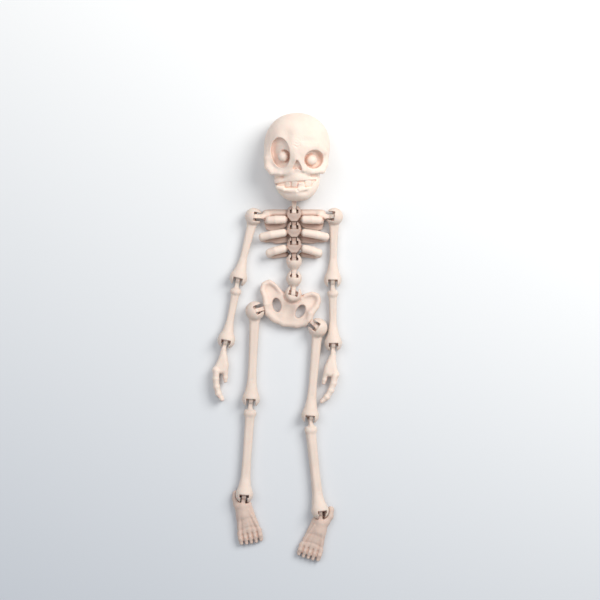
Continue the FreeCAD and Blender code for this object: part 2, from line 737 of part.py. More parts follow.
for side, sign in (("left", -1), ("right", 1)):
    arm_yaw, forearm_yaw, hand_yaw = ARM_YAWS[side]
    mouth = sign * (90 - size("shoulder_mouth"))
    shoulder = beside(*NECK, 0, sign * size("shoulder_reach"), size("shoulder_drop"))
    sizes = ("upper_arm_length", "arm_shaft", "limb_ball")
    lay(bone_with_two_balls(f"{side}_upper_arm", *sizes, mouth), *shoulder, arm_yaw)
    elbow = below(*shoulder, arm_yaw, size("upper_arm_length"))
    lay(bone_with_ring(f"{side}_forearm", "forearm_length", "forearm_shaft"), *elbow, forearm_yaw)
    wrist = below(*elbow, forearm_yaw, size("forearm_length"))
    lay(hand(f"{side}_hand", sign), *wrist, hand_yaw)

    thigh_yaw, shin_yaw, foot_yaw = LEG_YAWS[side]
    mouth = sign * (90 - size("hip_mouth"))
    hip = beside(*pelvis_link, PELVIS_YAW, sign * size("hip_reach"), size("hip_drop"))
    sizes = ("thigh_length", "thigh_shaft", "hip_ball")
    lay(bone_with_two_balls(f"{side}_thigh", *sizes, mouth), *hip, thigh_yaw)
    knee = below(*hip, thigh_yaw, size("thigh_length"))
    roll = SHIN_ROLLS[side]
    lift = 0.1 if roll else 0
    lay(bone_with_ring(f"{side}_shin", "shin_length", "shin_shaft"), *knee, shin_yaw, roll, lift)
    ankle = below(*knee, shin_yaw, size("shin_length"))
    lay(foot(f"{side}_foot", sign), *ankle, foot_yaw)

doc.recompute()

failed = [item.Label for item in doc.Objects if {"Invalid", "Error"} & set(item.State)]
if failed:
    raise RuntimeError(f"did not recompute: {failed}")
for label, item in parts.items():
    if item.Shape.isNull() or not item.Shape.isValid():
        raise RuntimeError(f"{label} has no valid shape")
    if len(item.Shape.Solids) != 1:
        raise RuntimeError(f"{label} is {len(item.Shape.Solids)} solids")
    item.Shape.exportStep(f"parts/{label}.step")
    bounds = item.Shape.BoundBox
    print(f"{label}: {item.Shape.Volume:.0f} mm3, Z {bounds.ZMin:.2f} to {bounds.ZMax:.2f}")
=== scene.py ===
import json
import math

import bpy
import numpy as np
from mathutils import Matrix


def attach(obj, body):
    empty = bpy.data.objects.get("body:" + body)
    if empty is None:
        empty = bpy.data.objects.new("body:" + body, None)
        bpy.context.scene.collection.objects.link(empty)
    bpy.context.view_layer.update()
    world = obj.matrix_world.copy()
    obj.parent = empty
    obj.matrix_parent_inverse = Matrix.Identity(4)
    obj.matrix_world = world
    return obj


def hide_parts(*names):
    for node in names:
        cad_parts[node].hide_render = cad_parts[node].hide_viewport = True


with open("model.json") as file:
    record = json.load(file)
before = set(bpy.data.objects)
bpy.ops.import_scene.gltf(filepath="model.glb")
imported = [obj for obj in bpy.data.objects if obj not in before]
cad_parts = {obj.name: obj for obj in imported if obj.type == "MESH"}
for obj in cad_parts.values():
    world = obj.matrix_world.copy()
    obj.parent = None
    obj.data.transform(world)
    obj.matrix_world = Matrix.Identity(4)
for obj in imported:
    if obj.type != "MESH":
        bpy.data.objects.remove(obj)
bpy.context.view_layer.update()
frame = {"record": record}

import openvdb
from mathutils import Matrix, Vector

# The figure is printed in place from ivory plastic and lies on its back. Each piece is
# modelled here as a distance field in millimetres, in the same frame of its own as in the
# CAD: upper link at X = 0, Y = 0, the piece reaching down to -Y, the table at Z = 0. Only
# the skull reaches up to +Y from its link. The field is meshed, and the piece is laid by
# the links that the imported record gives.

joints = {joint["name"]: joint for joint in frame["record"]["behaviour"]["joints"]}

MM = 0.001
LINK_HEIGHT = joints["neck"]["pos_m"][2] / MM

# Meshing: the side of a cell in millimetres, then a field's band and a box's margin in cells
STEP = 0.26
BAND = 3.0
MARGIN = 4

# How often the corners of a smooth outline are cut
CORNER_CUTS = 2

# Link sizes in millimetres: radii, and the half widths of slot and bar
LIMB = {"slot": 2.3, "cavity": 3.15, "pin": 0.8, "ring": 2.7, "eye": 1.55, "bar": 1.05}
SPINE = {"slot": 2.1, "cavity": 2.6, "pin": 0.7, "ring": 2.25, "eye": 1.15, "bar": 1.15}
BAR_DEPTH = 1.1
LIMB_BALL = 4.3
HIP_BALL = 4.8
CHEST_BALL = 3.5
LUMBAR_BALL = 4.0

# The slot of the rib vertebrae, and the room round the ball of the next piece
CHEST_SLOT = {"neck": 1.35, "back": 2.4, "chamber": 1.15}
BALL_ROOM = 0.45
ANKLE_ROOM = 0.3

# From link to link in the spine, and how far below the upper link a lower ring's bar ends
CHEST_PITCH = 7.8
LUMBAR_PITCH = 8.5
LOWEST_PITCH = 8.1
BAR_ROOT = 2.6

# A shoulder link in the chest's frame and a hip link in the pelvis's, both on the +X side
SHOULDER = (20.1, -2.1)
HIP = (16.2, -13.1)

# Degrees about Z: the upper slots of arms and legs, the hands and feet, and the toes inwards
SHOULDER_SLOT_TURN = 84
HIP_SLOT_TURN = 60
HAND_YAW = {"left": -15, "right": 0}
FOOT_YAW = {"left": -8, "right": 2}
TOES_IN = 19

# The face's middle lies beside the neck link, and the face sits lower the further it stands out
FACE_MIDDLE = 1.5
FACE_LEAN = 0.058


# Distance fields. Points are rows of X, Y, Z in millimetres.

def length(v):
    return np.sqrt((v * v).sum(axis=1))


def ball(p, centre, radius):
    return length(p - np.float32(centre)) - radius


def egg(p, centre, radii, yaw=0):
    """An ellipsoid, turned about Z."""
    q = turned(p - np.float32(centre), yaw)
    radii = np.float32(radii)
    near = length(q / radii)
    far = length(q / (radii * radii))
    return near * (near - 1) / np.maximum(far, 1e-6)


def turned(q, yaw):
    """The points in a frame that is turned by yaw degrees about Z."""
    if yaw == 0:
        return q
    c = math.cos(math.radians(yaw))
    s = math.sin(math.radians(yaw))
    return np.stack([q[:, 0] * c + q[:, 1] * s, q[:, 1] * c - q[:, 0] * s, q[:, 2]], axis=1)


def rod(p, start, end, first, last=None):
    """A round bar with ball ends, whose radius goes from first to last."""
    last = first if last is None else last
    a = np.float32(start)
    run = np.float32(end) - a
    along = np.clip((p - a) @ run / (run @ run), 0, 1)
    return length(p - a - along[:, None] * run) - (first + (last - first) * along)


def chain(p, points, radii, soft=0.4):
    """Rods through the points, blended where they meet."""
    field = rod(p, points[0], points[1], radii[0], radii[1])
    for index in range(1, len(points) - 1):
        link = rod(p, points[index], points[index + 1], radii[index], radii[index + 1])
        field = join(field, link, soft)
    return field


def slab(p, centre, half, rounding):
    """A box with rounded edges."""
    q = np.abs(p - np.float32(centre)) - (np.float32(half) - rounding)
    outside = length(np.maximum(q, 0))
    return outside + np.minimum(q.max(axis=1), 0) - rounding


def polygon(p, points):
    """Signed distance in the XY plane from a closed outline."""
    xy = p[:, :2]
    corners = np.float32(points)
    distance = np.full(len(p), 1e9, np.float32)
    sign = np.ones(len(p), np.float32)
    for a, b in zip(corners, np.roll(corners, -1, axis=0)):
        edge = b - a
        w = xy - a
        along = np.clip((w @ edge) / (edge @ edge), 0, 1)
        off = w - along[:, None] * edge
        distance = np.minimum(distance, (off * off).sum(axis=1))
        above = xy[:, 1] >= a[1]
        below = xy[:, 1] < b[1]
        left = edge[0] * w[:, 1] > edge[1] * w[:, 0]
        sign = np.where((above & below & left) | (~above & ~below & ~left), -sign, sign)
    return sign * np.sqrt(distance)


def plate(p, points, low, high, rounding):
    """An outline raised from low to high, with its edges rounded."""
    flat = polygon(p, points) + rounding
    middle = (low + high) / 2
    upright = np.abs(p[:, 2] - middle) - (high - low) / 2 + rounding
    outside = np.sqrt(np.maximum(flat, 0) ** 2 + np.maximum(upright, 0) ** 2)
    return outside + np.minimum(np.maximum(flat, upright), 0) - rounding


def smooth_outline(points):
    """A closed outline with its corners cut until it runs smoothly."""
    corners = np.float32(points)
    for _ in range(CORNER_CUTS):
        following = np.roll(corners, -1, axis=0)
        near = corners * 0.75 + following * 0.25
        far = corners * 0.25 + following * 0.75
        corners = np.stack([near, far], axis=1)
        corners = corners.reshape(-1, 2)
    return corners


def mirrored(points):
    """A half outline, from top to bottom, completed about X = 0."""
    return points + [(-x, y) for x, y in reversed(points) if x > 0.01]


def join(a, b, soft=0.0):
    """Both shapes, blended over a soft distance."""
    if soft <= 0:
        return np.minimum(a, b)
    h = np.clip(0.5 + 0.5 * (b - a) / soft, 0, 1)
    return b * (1 - h) + a * h - soft * h * (1 - h)


def carve(a, b, soft):
    """The first shape without the second."""
    return -join(-a, b, soft)


def meet(a, b, soft):
    """What two shapes share."""
    return -join(-a, -b, soft)


def pit(field, outline, depth, soft, edge):
    """The field with an outline sunk into its front, down to a floor that follows the surface."""
    return carve(field, meet(outline, -(field + depth), soft), edge)


def groove(p, points, width):
    """How deep a point lies in a soft line through points of the XY plane, from 0 to 1."""
    xy = p[:, :2]
    nearest = np.full(len(p), 1e9, np.float32)
    for a, b in zip(points, points[1:]):
        a = np.float32(a)
        run = np.float32(b) - a
        along = np.clip(((xy - a) @ run) / (run @ run), 0, 1)
        off = xy - a - along[:, None] * run
        nearest = np.minimum(nearest, (off * off).sum(axis=1))
    return np.exp(-nearest / (width * width))


def dent(p, centre, spread):
    """A soft round dent in the XY plane, from 0 to 1."""
    q = (p[:, :2] - np.float32(centre)) / np.float32(spread)
    return np.exp(-(q * q).sum(axis=1))


# Links

def link_frame(p, at, turn):
    """The points about a link's pin, in a frame turned so that its ring's bar runs to -Y."""
    return turned(p - np.float32((at[0], at[1], LINK_HEIGHT)), turn)


def ring(p, family, reach, at=(0, 0), turn=0, flare=0.0):
    """A closed ring round a pin and the bar that joins it to its piece."""
    q = link_frame(p, at, turn)
    radius = np.sqrt(q[:, 1] ** 2 + q[:, 2] ** 2)
    middle = (family["ring"] + family["eye"]) / 2
    half = (family["ring"] - family["eye"]) / 2
    edge = 0.4
    thick = np.abs(radius - middle) - half + edge
    wide = np.abs(q[:, 0]) - family["bar"] + edge
    section = np.stack([thick, wide], axis=1)
    hoop = length(np.maximum(section, 0)) + np.minimum(section.max(axis=1), 0) - edge
    start = family["eye"] + half
    bar = slab(q, (0, -(start + reach) / 2, 0), (family["bar"], (reach - start) / 2, BAR_DEPTH), 0.5)
    whole = join(hoop, bar, 0.4)
    if flare > 0:
        root_width = family["bar"] + flare
        root = rod(q, (0, -reach + 0.4, -0.3), (0, -reach - 1.5, -0.6), family["bar"], root_width)
        whole = join(whole, root, 1.2)
    return whole


def socket(p, field, family, size, at=(0, 0), turn=0, neck=None, back=0.5, chamber=1.9):
    """A split ball: the field with a cavity, a slot open to +Y and a cross pin.

    Beyond a short chamber the slot narrows to the neck, and behind the ring it starts at back,
    which leaves the bar its swing.
    """
    q = link_frame(p, at, turn)
    radius = np.sqrt(q[:, 1] ** 2 + q[:, 2] ** 2)
    cavity = np.maximum(radius - family["cavity"], np.abs(q[:, 0]) - family["slot"])
    reach = size + 3
    width = family["slot"] if neck is None else neck
    deep = family["cavity"]
    front = np.minimum(
        slab(q, (0, chamber / 2, reach - deep), (family["slot"], chamber / 2, reach), 0.05),
        slab(q, (0, reach / 2, reach - deep), (width, reach / 2, reach), 0.05),
    )
    behind = slab(q, (0, back + reach / 2, 0), (width, reach / 2, reach), 0.05)
    opened = carve(field, np.minimum(np.minimum(cavity, front), behind), 0.25)
    pin = np.maximum(radius - family["pin"], np.abs(q[:, 0]) - family["slot"] - 0.4)
    return np.minimum(opened, pin)


# Meshes

def lay(name, field, low, high, matrix, shade, step=STEP):
    """Mesh a field inside a box, and lay it in the figure by a matrix.

    Shade is given the places and their painted recess shade, and gives back the painted shade and the
    painted light to use.
    """
    low = np.float32(low) - MARGIN * step
    counts = np.ceil((np.float32(high) + MARGIN * step - low) / step).astype(int)
    axes = [low[i] + step * np.arange(counts[i], dtype=np.float32) for i in range(3)]
    values = np.empty(tuple(counts), np.float32)
    for index, x in enumerate(axes[0]):
        y, z = np.meshgrid(axes[1], axes[2], indexing="ij")
        p = np.stack([np.full(y.size, x, np.float32), y.ravel(), z.ravel()], axis=1)
        values[index] = trimmed(field, p).reshape(y.shape)
    grid = openvdb.FloatGrid(background=BAND)
    grid.copyFromArray(np.clip(values / step, -BAND, BAND))
    points, quads = grid.convertToQuads()
    points = np.float32(points) * step + low
    normals = slope(field, points, step)
    # Painted shade: the hollowness and each piece's shade function set the colour's recess shade and its
    # painted light
    recess_shade, light = shade(points, hollowness(field, points, normals))
    corners = np.c_[points, np.ones(len(points))] @ np.array(matrix).T
    mesh = bpy.data.meshes.new(name)
    mesh.from_pydata((corners[:, :3] * MM).tolist(), [], orient(points, quads, normals).tolist())
    mesh.attributes.new("recess_shade", "FLOAT", "POINT").data.foreach_set("value", recess_shade)
    mesh.attributes.new("light", "FLOAT", "POINT").data.foreach_set("value", light)
    mesh.shade_smooth()
    mesh.materials.append(BONE)
    piece = bpy.data.objects.new(f"{name}_bone", mesh)
    bpy.context.collection.objects.link(piece)
    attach(piece, name)
    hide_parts(name)


def trimmed(field, p):
    """The field with its flat back on the table."""
    return np.maximum(field(p), -p[:, 2]).astype(np.float32)


def slope(field, points, step):
    """Outward normals of the field at the points."""
    sides = []
    for axis in range(3):
        offset = np.zeros(3, np.float32)
        offset[axis] = step / 2
        sides.append(trimmed(field, points + offset) - trimmed(field, points - offset))
    normals = np.stack(sides, axis=1)
    return normals / np.maximum(length(normals)[:, None], 1e-6)


def hollowness(field, points, normals):
    """How enclosed each point is, from 0 in the open to 1 deep in a hollow, for the painted shade."""
    total = np.zeros(len(points), np.float32)
    weight = 0.0
    reaches = ((0.6, 1.0), (1.4, 0.8), (2.8, 0.6), (5.0, 0.3))
    for reach, share in reaches:
        open_way = np.maximum(field(points + normals * reach), 0)
        total += share * np.clip(1 - open_way / reach, 0, 1)
        weight += share
    return total / weight


def spine_shade(points, recess_shade):
    """Painted shade: pinker and dimmer on the spine's own front and on the plates behind the ribs."""
    column_shade = np.clip((4.5 - np.abs(points[:, 0])) / 0.7, 0, 1)
    low = np.clip((5.0 - points[:, 2]) / 1.6, 0, 1)
    painted_shade_tint = recess_shade + 0.46 * np.maximum(column_shade, low) * (1 - recess_shade)
    return painted_shade_tint, 1 - 0.33 * column_shade - 0.2 * low * (1 - column_shade)


def bone_shade(points, recess_shade):
    """A little dimmer than the ribs and the skull by painted shade, and with softer painted shade in the
    slots.
    """
    return np.minimum(recess_shade, 0.88), np.full(len(points), 0.9, np.float32)


def hand_shade(points, recess_shade):
    """Painted recess shade only, as bright as the ribs."""
    return recess_shade, np.ones(len(points), np.float32)


def pelvis_shade(points, recess_shade):
    """Painted shade: pinker, and dimmer towards the middle."""
    middle = dent(points, (-0.4, -9.0), (7.0, 6.0))
    return recess_shade + 0.25 * (1 - recess_shade), 0.95 - 0.18 * middle


def foot_shade(points, recess_shade):
    """Painted shade: pinker and dimmer, and softer in the notch round the ankle."""
    return np.minimum(recess_shade + 0.42 * (1 - recess_shade), 0.72), np.full(len(points), 0.81, np.float32)


def skull_shade(points, recess_shade):
    """Less painted shade in the sockets and the mouth, which are shallow and face the light, and painted
    light on the muzzle.
    """
    front = np.clip((points[:, 2] - 10.0) / 2.0, 0, 1)
    muzzle = np.clip((22.0 - points[:, 1]) / 3.0, 0, 1)
    softer = recess_shade * (1 - front * (0.1 + 0.25 * muzzle))
    most = 1 - front * (0.36 + 0.14 * muzzle)
    return np.minimum(softer, most), 1 + 0.1 * muzzle * front


def orient(points, quads, normals):
    """The quads in the order that makes them face outwards."""
    a, b, c = (points[quads[:, i]] for i in range(3))
    facing = (np.cross(b - a, c - a) * normals[quads[:, 0]]).sum()
    return quads if facing > 0 else quads[:, ::-1]


# Where each piece lies

def spot(name):
    """A link's place in millimetres."""
    return Vector(joints[name]["pos_m"]) / MM


def frame_at(link, across):
    """The frame of a piece from its upper link and its X axis, both in the figure."""
    x = Vector(across).normalized()
    z = Vector((0, 0, 1))
    z = (z - x * z.dot(x)).normalized()
    y = z.cross(x)
    matrix = Matrix((x, y, z)).transposed().to_4x4()
    matrix.translation = Vector(link) - matrix.to_3x3() @ Vector((0, 0, LINK_HEIGHT))
    return matrix


def frame_with_yaw(link, yaw):
    """The frame of a hand or a foot that lies flat, turned by yaw degrees."""
    angle = math.radians(yaw)
    return frame_at(link, (math.cos(angle), math.sin(angle), 0))


def frame_along(upper, lower, across):
    """The frame of a limb from its two links, rolled so that its pin follows across."""
    y = (spot(upper) - spot(lower)).normalized()
    x = (across - y * across.dot(y)).normalized()
    z = x.cross(y)
    matrix = Matrix((x, y, z)).transposed().to_4x4()
    matrix.translation = spot(upper) - z * LINK_HEIGHT
    return matrix


def reach_between(upper, lower):
    return (spot(upper) - spot(lower)).length


# Materials

def bone_plastic():
    """Matte ivory filament, faint print layers, and painted shade: pinkish brown in recesses, dimmed by
    light.
    """
    material = bpy.data.materials.new("bone_plastic")
    material.use_nodes = True
    tree = material.node_tree
    nodes = tree.nodes
    links = tree.links
    shader = nodes["Principled BSDF"]
    shader.inputs["Roughness"].default_value = 0.55
    shader.inputs["Specular IOR Level"].default_value = 0.3
    shader.inputs["Subsurface Weight"].default_value = 0.15
    shader.inputs["Subsurface Radius"].default_value = (1.0, 0.5, 0.35)
    shader.inputs["Subsurface Scale"].default_value = 1.0 * MM

    recess_shade = nodes.new("ShaderNodeAttribute")
    recess_shade.attribute_name = "recess_shade"
    light = nodes.new("ShaderNodeAttribute")
    light.attribute_name = "light"
    place = nodes.new("ShaderNodeTexCoord")

    # Painted shade: the more enclosed a point, the more the ivory turns pinkish brown, then dark brown
    painted_shade_tint = nodes.new("ShaderNodeValToRGB")
    ramp = painted_shade_tint.color_ramp
    ramp.elements[0].position = 0.22
    ramp.elements[0].color = (0.89, 0.745, 0.65, 1)
    ramp.elements[1].position = 1.0
    ramp.elements[1].color = (0.22, 0.08, 0.05, 1)
    steps = ((0.45, (0.86, 0.67, 0.575, 1)), (0.70, (0.78, 0.54, 0.44, 1)), (0.86, (0.50, 0.27, 0.19, 1)))
    for position, colour in steps:
        ramp.elements.new(position).color = colour
    links.new(recess_shade.outputs["Fac"], painted_shade_tint.inputs["Fac"])

    cloud = nodes.new("ShaderNodeTexNoise")
    cloud.inputs["Scale"].default_value = 120
    cloud.inputs["Detail"].default_value = 3
    links.new(place.outputs["Object"], cloud.inputs["Vector"])
    uneven = nodes.new("ShaderNodeMapRange")
    uneven.inputs["From Min"].default_value = 0.3
    uneven.inputs["From Max"].default_value = 0.7
    uneven.inputs["To Min"].default_value = 0.94
    uneven.inputs["To Max"].default_value = 1.03
    links.new(cloud.outputs["Fac"], uneven.inputs["Value"])
    # The uneven tone is the filament's own; the light attribute then scales the colour as painted light
    # and shade
    mottle_and_painted_light = nodes.new("ShaderNodeVectorMath")
    mottle_and_painted_light.operation = "SCALE"
    links.new(painted_shade_tint.outputs["Color"], mottle_and_painted_light.inputs[0])
    strength = nodes.new("ShaderNodeMath")
    strength.operation = "MULTIPLY"
    links.new(uneven.outputs["Result"], strength.inputs[0])
    links.new(light.outputs["Fac"], strength.inputs[1])
    links.new(strength.outputs["Value"], mottle_and_painted_light.inputs["Scale"])
    links.new(mottle_and_painted_light.outputs["Vector"], shader.inputs["Base Color"])

    # Layer lines follow the height over the table, a little uneven
    layers = nodes.new("ShaderNodeTexWave")
    layers.bands_direction = "Z"
    layers.inputs["Scale"].default_value = 0.31 / (0.25 * MM)
    layers.inputs["Distortion"].default_value = 2.5
    layers.inputs["Detail"].default_value = 2
    links.new(place.outputs["Object"], layers.inputs["Vector"])
    grain = nodes.new("ShaderNodeTexNoise")
    grain.inputs["Scale"].default_value = 1500
    grain.inputs["Detail"].default_value = 2
    links.new(place.outputs["Object"], grain.inputs["Vector"])
    layer_bump = nodes.new("ShaderNodeBump")
    layer_bump.inputs["Strength"].default_value = 0.35
    layer_bump.inputs["Distance"].default_value = 0.08 * MM
    links.new(layers.outputs["Fac"], layer_bump.inputs["Height"])
    grain_bump = nodes.new("ShaderNodeBump")
    grain_bump.inputs["Strength"].default_value = 0.6
    grain_bump.inputs["Distance"].default_value = 0.16 * MM
    links.new(grain.outputs["Fac"], grain_bump.inputs["Height"])
    links.new(layer_bump.outputs["Normal"], grain_bump.inputs["Normal"])
    links.new(grain_bump.outputs["Normal"], shader.inputs["Normal"])
    return material


def floor_paper():
    """Pale paper under the figure, with painted shade: darker and bluer towards -Y and a little -X."""
    material = bpy.data.materials.new("floor_paper")
    material.use_nodes = True
    tree = material.node_tree
    shader = tree.nodes["Principled BSDF"]
    shader.inputs["Roughness"].default_value = 0.9
    shader.inputs["Specular IOR Level"].default_value = 0.1
    place = tree.nodes.new("ShaderNodeTexCoord")
    # Painted shade: the paper darkens along this direction, as the light falls off
    along = tree.nodes.new("ShaderNodeVectorMath")
    along.operation = "DOT_PRODUCT"
    along.inputs[1].default_value = (0.33, 0.94, 0)
    tree.links.new(place.outputs["Object"], along.inputs[0])
    painted_falloff = tree.nodes.new("ShaderNodeMapRange")
    painted_falloff.inputs["From Min"].default_value = -0.18
    painted_falloff.inputs["From Max"].default_value = 0.16
    tree.links.new(along.outputs["Value"], painted_falloff.inputs["Value"])
    ramp = tree.nodes.new("ShaderNodeValToRGB")
    ramp.color_ramp.elements[0].color = (0.61, 0.645, 0.695, 1)
    ramp.color_ramp.elements[1].color = (0.93, 0.935, 0.93, 1)
    tree.links.new(painted_falloff.outputs["Result"], ramp.inputs["Fac"])
    tree.links.new(ramp.outputs["Color"], shader.inputs["Base Color"])
    return material


BONE = bone_plastic()


# Skull

def brain_case(q):
    case = join(
        egg(q, (0, 33.0, 8.0), (16.4, 16.3, 15.8)),
        egg(q, (0, 38.2, 8.6), (14.0, 10.7, 13.2)),
        2.4,
    )
    case = join(case, slab(q, (-0.9, 25.8, 8.6), (15.3, 5.8, 7.6), 5.2), 3.0)
    return join(case, egg(q, (0, 24.4, 10.4), (12.4, 7.6, 11.2)), 3.0)


def lower_face(q):
    """Jaw, muzzle and chin."""
    jaw_outline = mirrored([
        (0, 22), (10.4, 21.5), (11.5, 17.6), (10.9, 13.4), (8.9, 9.4), (4.9, 6.5), (0, 6.1),
    ])
    jaw = plate(q, smooth_outline(jaw_outline), 0, 16.2, 5.0)
    muzzle = egg(q, (0.1, 15.4, 9.4), (9.6, 6.8, 9.4))
    chin = egg(q, (-0.1, 9.8, 9.2), (6.6, 3.7, 8.4))
    return join(join(jaw, muzzle, 1.6), chin, 1.4)


def socket_rims(q):
    """The outer edge of the left socket, and both cheekbones."""
    left_rim = chain(
        q,
        [
            (-12.6, 36.6, 15.4), (-13.9, 32.0, 15.0), (-14.5, 27.0, 14.8), (-14.3, 23.0, 14.9),
            (-12.0, 20.4, 15.8), (-8.0, 19.8, 17.4), (-3.4, 21.2, 19.0),
        ],
        [1.2, 1.5, 1.7, 1.8, 1.8, 1.7, 1.4],
        0.6,
    )
    right_rim = chain(
        q,
        [(14.1, 29.0, 14.2), (13.7, 24.0, 14.6), (12.2, 21.3, 15.8), (7.2, 20.8, 18.0), (3.0, 22.4, 20.0)],
        [1.3, 1.6, 1.8, 1.7, 1.3],
        0.6,
    )
    return join(left_rim, right_rim)


def brows(q):
    right_brow = chain(
        q,
        [(2.8, 29.6, 20.9), (5.4, 32.6, 20.6), (9.4, 33.2, 19.4), (13.0, 30.6, 16.6)],
        [1.2, 1.5, 1.5, 1.2],
        0.6,
    )
    bridge = chain(q, [(-2.0, 36.0, 21.4), (-1.6, 31.0, 21.2), (-0.2, 26.8, 21.7)], [1.3, 1.4, 1.3], 0.6)
    return join(right_brow, bridge, 1.2)


def face_dents(q):
    """Soft dents over the sockets and at the temples, and the folds under the cheekbones."""
    depth = 0.9 * dent(q, (-4.8, 38.8), (2.9, 3.2))
    depth += 0.6 * dent(q, (6.0, 35.6), (4.2, 1.6))
    depth += 0.9 * dent(q, (14.6, 36.4), (2.2, 3.8))
    depth += 0.7 * dent(q, (-15.2, 36.0), (1.6, 5.5))
    depth += 0.3 * groove(q, [(-1.4, 33.4), (0.1, 32.6), (1.5, 33.4)], 0.35)
    depth += 0.25 * groove(q, [(-1.1, 34.6), (0.1, 33.9), (1.3, 34.6)], 0.3)
    depth += 0.7 * groove(q, [(-11.8, 17.9), (-7.0, 18.1)], 0.9)
    depth += 0.5 * groove(q, [(7.0, 18.6), (11.6, 18.6)], 0.8)
    return depth


def with_eyes(q, field):
    """A socket each side, with an eyeball on its floor."""
    left_socket = egg(q, (-8.0, 29.9, 19.0), (4.9, 7.5, 9.0), 7)
    right_socket = egg(q, (8.1, 26.7, 19.0), (4.9, 4.6, 9.0), 4)
    field = pit(field, left_socket, 2.5, 2.2, 0.45)
    field = pit(field, right_socket, 2.7, 2.2, 0.45)
    field = carve(field, ball(q, (-6.5, 27.9, 19.7), 3.4), 0.5)
    field = carve(field, ball(q, (7.1, 26.2, 19.4), 3.35), 0.5)
    field = join(field, ball(q, (-6.8, 28.0, 18.0), 2.75), 0.5)
    return join(field, ball(q, (7.0, 26.3, 17.8), 2.75), 0.5)


def with_nose(q, field):
    """An upturned V with a raised right edge."""
    nose = polygon(q, smooth_outline([
        (-0.2, 26.6), (0.8, 25.6), (2.5, 22.0), (2.0, 20.9),
        (0.3, 22.4), (-1.2, 21.4), (-2.3, 21.9), (-1.1, 24.4),
    ]))
    field = join(field, rod(q, (0.9, 25.6, 21.9), (3.2, 21.4, 20.6), 0.7, 0.9), 0.8)
    return pit(field, nose, 1.5, 1.2, 0.4)


def with_mouth(q, field):
    """An uneven opening with a lip below it and three teeth hanging in it."""
    lips = chain(
        q,
        [(-9.6, 12.9, 14.8), (-6.2, 11.6, 16.8), (-0.6, 11.3, 17.8), (4.4, 12.2, 17.4)],
        [0.8, 0.9, 0.9, 0.7],
    )
    field = join(field, lips, 1.8)
    mouth = polygon(q, [
        (-10.7, 14.5), (-5.6, 15.5), (1.2, 16.0), (9.3, 16.6), (9.4, 16.0), (7.7, 15.0), (7.1, 13.0),
        (3.8, 12.8), (3.3, 15.2), (0.7, 15.0), (0.3, 12.5), (-5.9, 12.5), (-6.5, 13.6), (-10.4, 13.8),
    ])
    gum = field + 0.25
    field = pit(field, mouth, 1.0, 0.8, 0.4)
    teeth = ((-5.8, -3.1, 12.7, 15.7), (-2.8, 0.2, 12.7, 16.0), (3.7, 7.1, 13.1, 16.4))
    for left, right, bottom, top in teeth:
        middle = ((left + right) / 2, (bottom + top) / 2, 15)
        half = ((right - left) / 2, (top - bottom) / 2, 6)
        field = join(field, meet(slab(q, middle, half, 0.6), gum, 0.8), 0.25)
    return field


def skull_field(p):
    """Brain case, face, jaw and teeth, about a middle that lies beside the neck link."""
    q = p - np.float32((FACE_MIDDLE, 0, 0))
    q[:, 1] += FACE_LEAN * q[:, 2]
    field = join(brain_case(q), lower_face(q), 0.9)
    field = join(field, egg(q, (0.2, 18.2, 11.0), (7.8, 5.0, 9.2)), 2.4)
    field = join(field, socket_rims(q), 1.8)
    field = join(field, brows(q), 2.4)
    front = np.clip((q[:, 2] - 9.0) / 3.0, 0, 1)
    field = field + face_dents(q) * front
    field = with_mouth(q, with_nose(q, with_eyes(q, field)))
    notch = 0.6 * dent(q, (0.2, 11.4), (0.45, 0.45)) * front
    return join(field + notch, ring(p, SPINE, 10.0, turn=180), 0.6)


# Spine and ribs

def chest_core(p, pitch):
    """A barrel with a flat front, drawn in like a funnel to the bar of its lower ring."""
    barrel = meet(ball(p, (0, 0, LINK_HEIGHT), CHEST_BALL + 0.1), p[:, 2] - 6.9, 0.5)
    funnel = [
        (-3.5, -0.1), (3.5, -0.1), (3.7, -1.2), (3.4, -2.6), (2.3, -3.7), (1.25, -5.0), (1.25, -5.8),
        (-1.25, -5.8), (-1.25, -5.0), (-2.3, -3.7), (-3.4, -2.6), (-3.7, -1.2),
    ]
    core = join(barrel, plate(p, funnel, 0.6, 6.6, 0.6), 0.5)
    return core, ring(p, SPINE, pitch - BAR_ROOT, at=(0, -pitch), turn=180)


def lumbar_core(p, family, pitch):
    """A ball drawn in like a funnel to the bar of its lower ring."""
    barrel = egg(p, (0, -0.2, LINK_HEIGHT), (LUMBAR_BALL - 0.1, LUMBAR_BALL, LUMBAR_BALL - 0.2))
    funnel = rod(p, (0, -1.6, LINK_HEIGHT - 0.2), (0, -pitch + 3.4, LINK_HEIGHT - 0.1), 3.1, 1.25)
    foot = slab(p, (0, -1.8, 1.8), (2.8, 2.0, 1.8), 0.8)
    core = join(join(barrel, funnel, 1.0), foot, 1.0)
    return core, ring(p, family, pitch - BAR_ROOT, at=(0, -pitch), turn=180)


def rib(p, side, points, radii):
    """One rib: a bar in front, round its outer end, and back to the spine below."""
    across = [(side * x, y, z) for x, y, z in points]
    return chain(p, across, radii, 0.15)


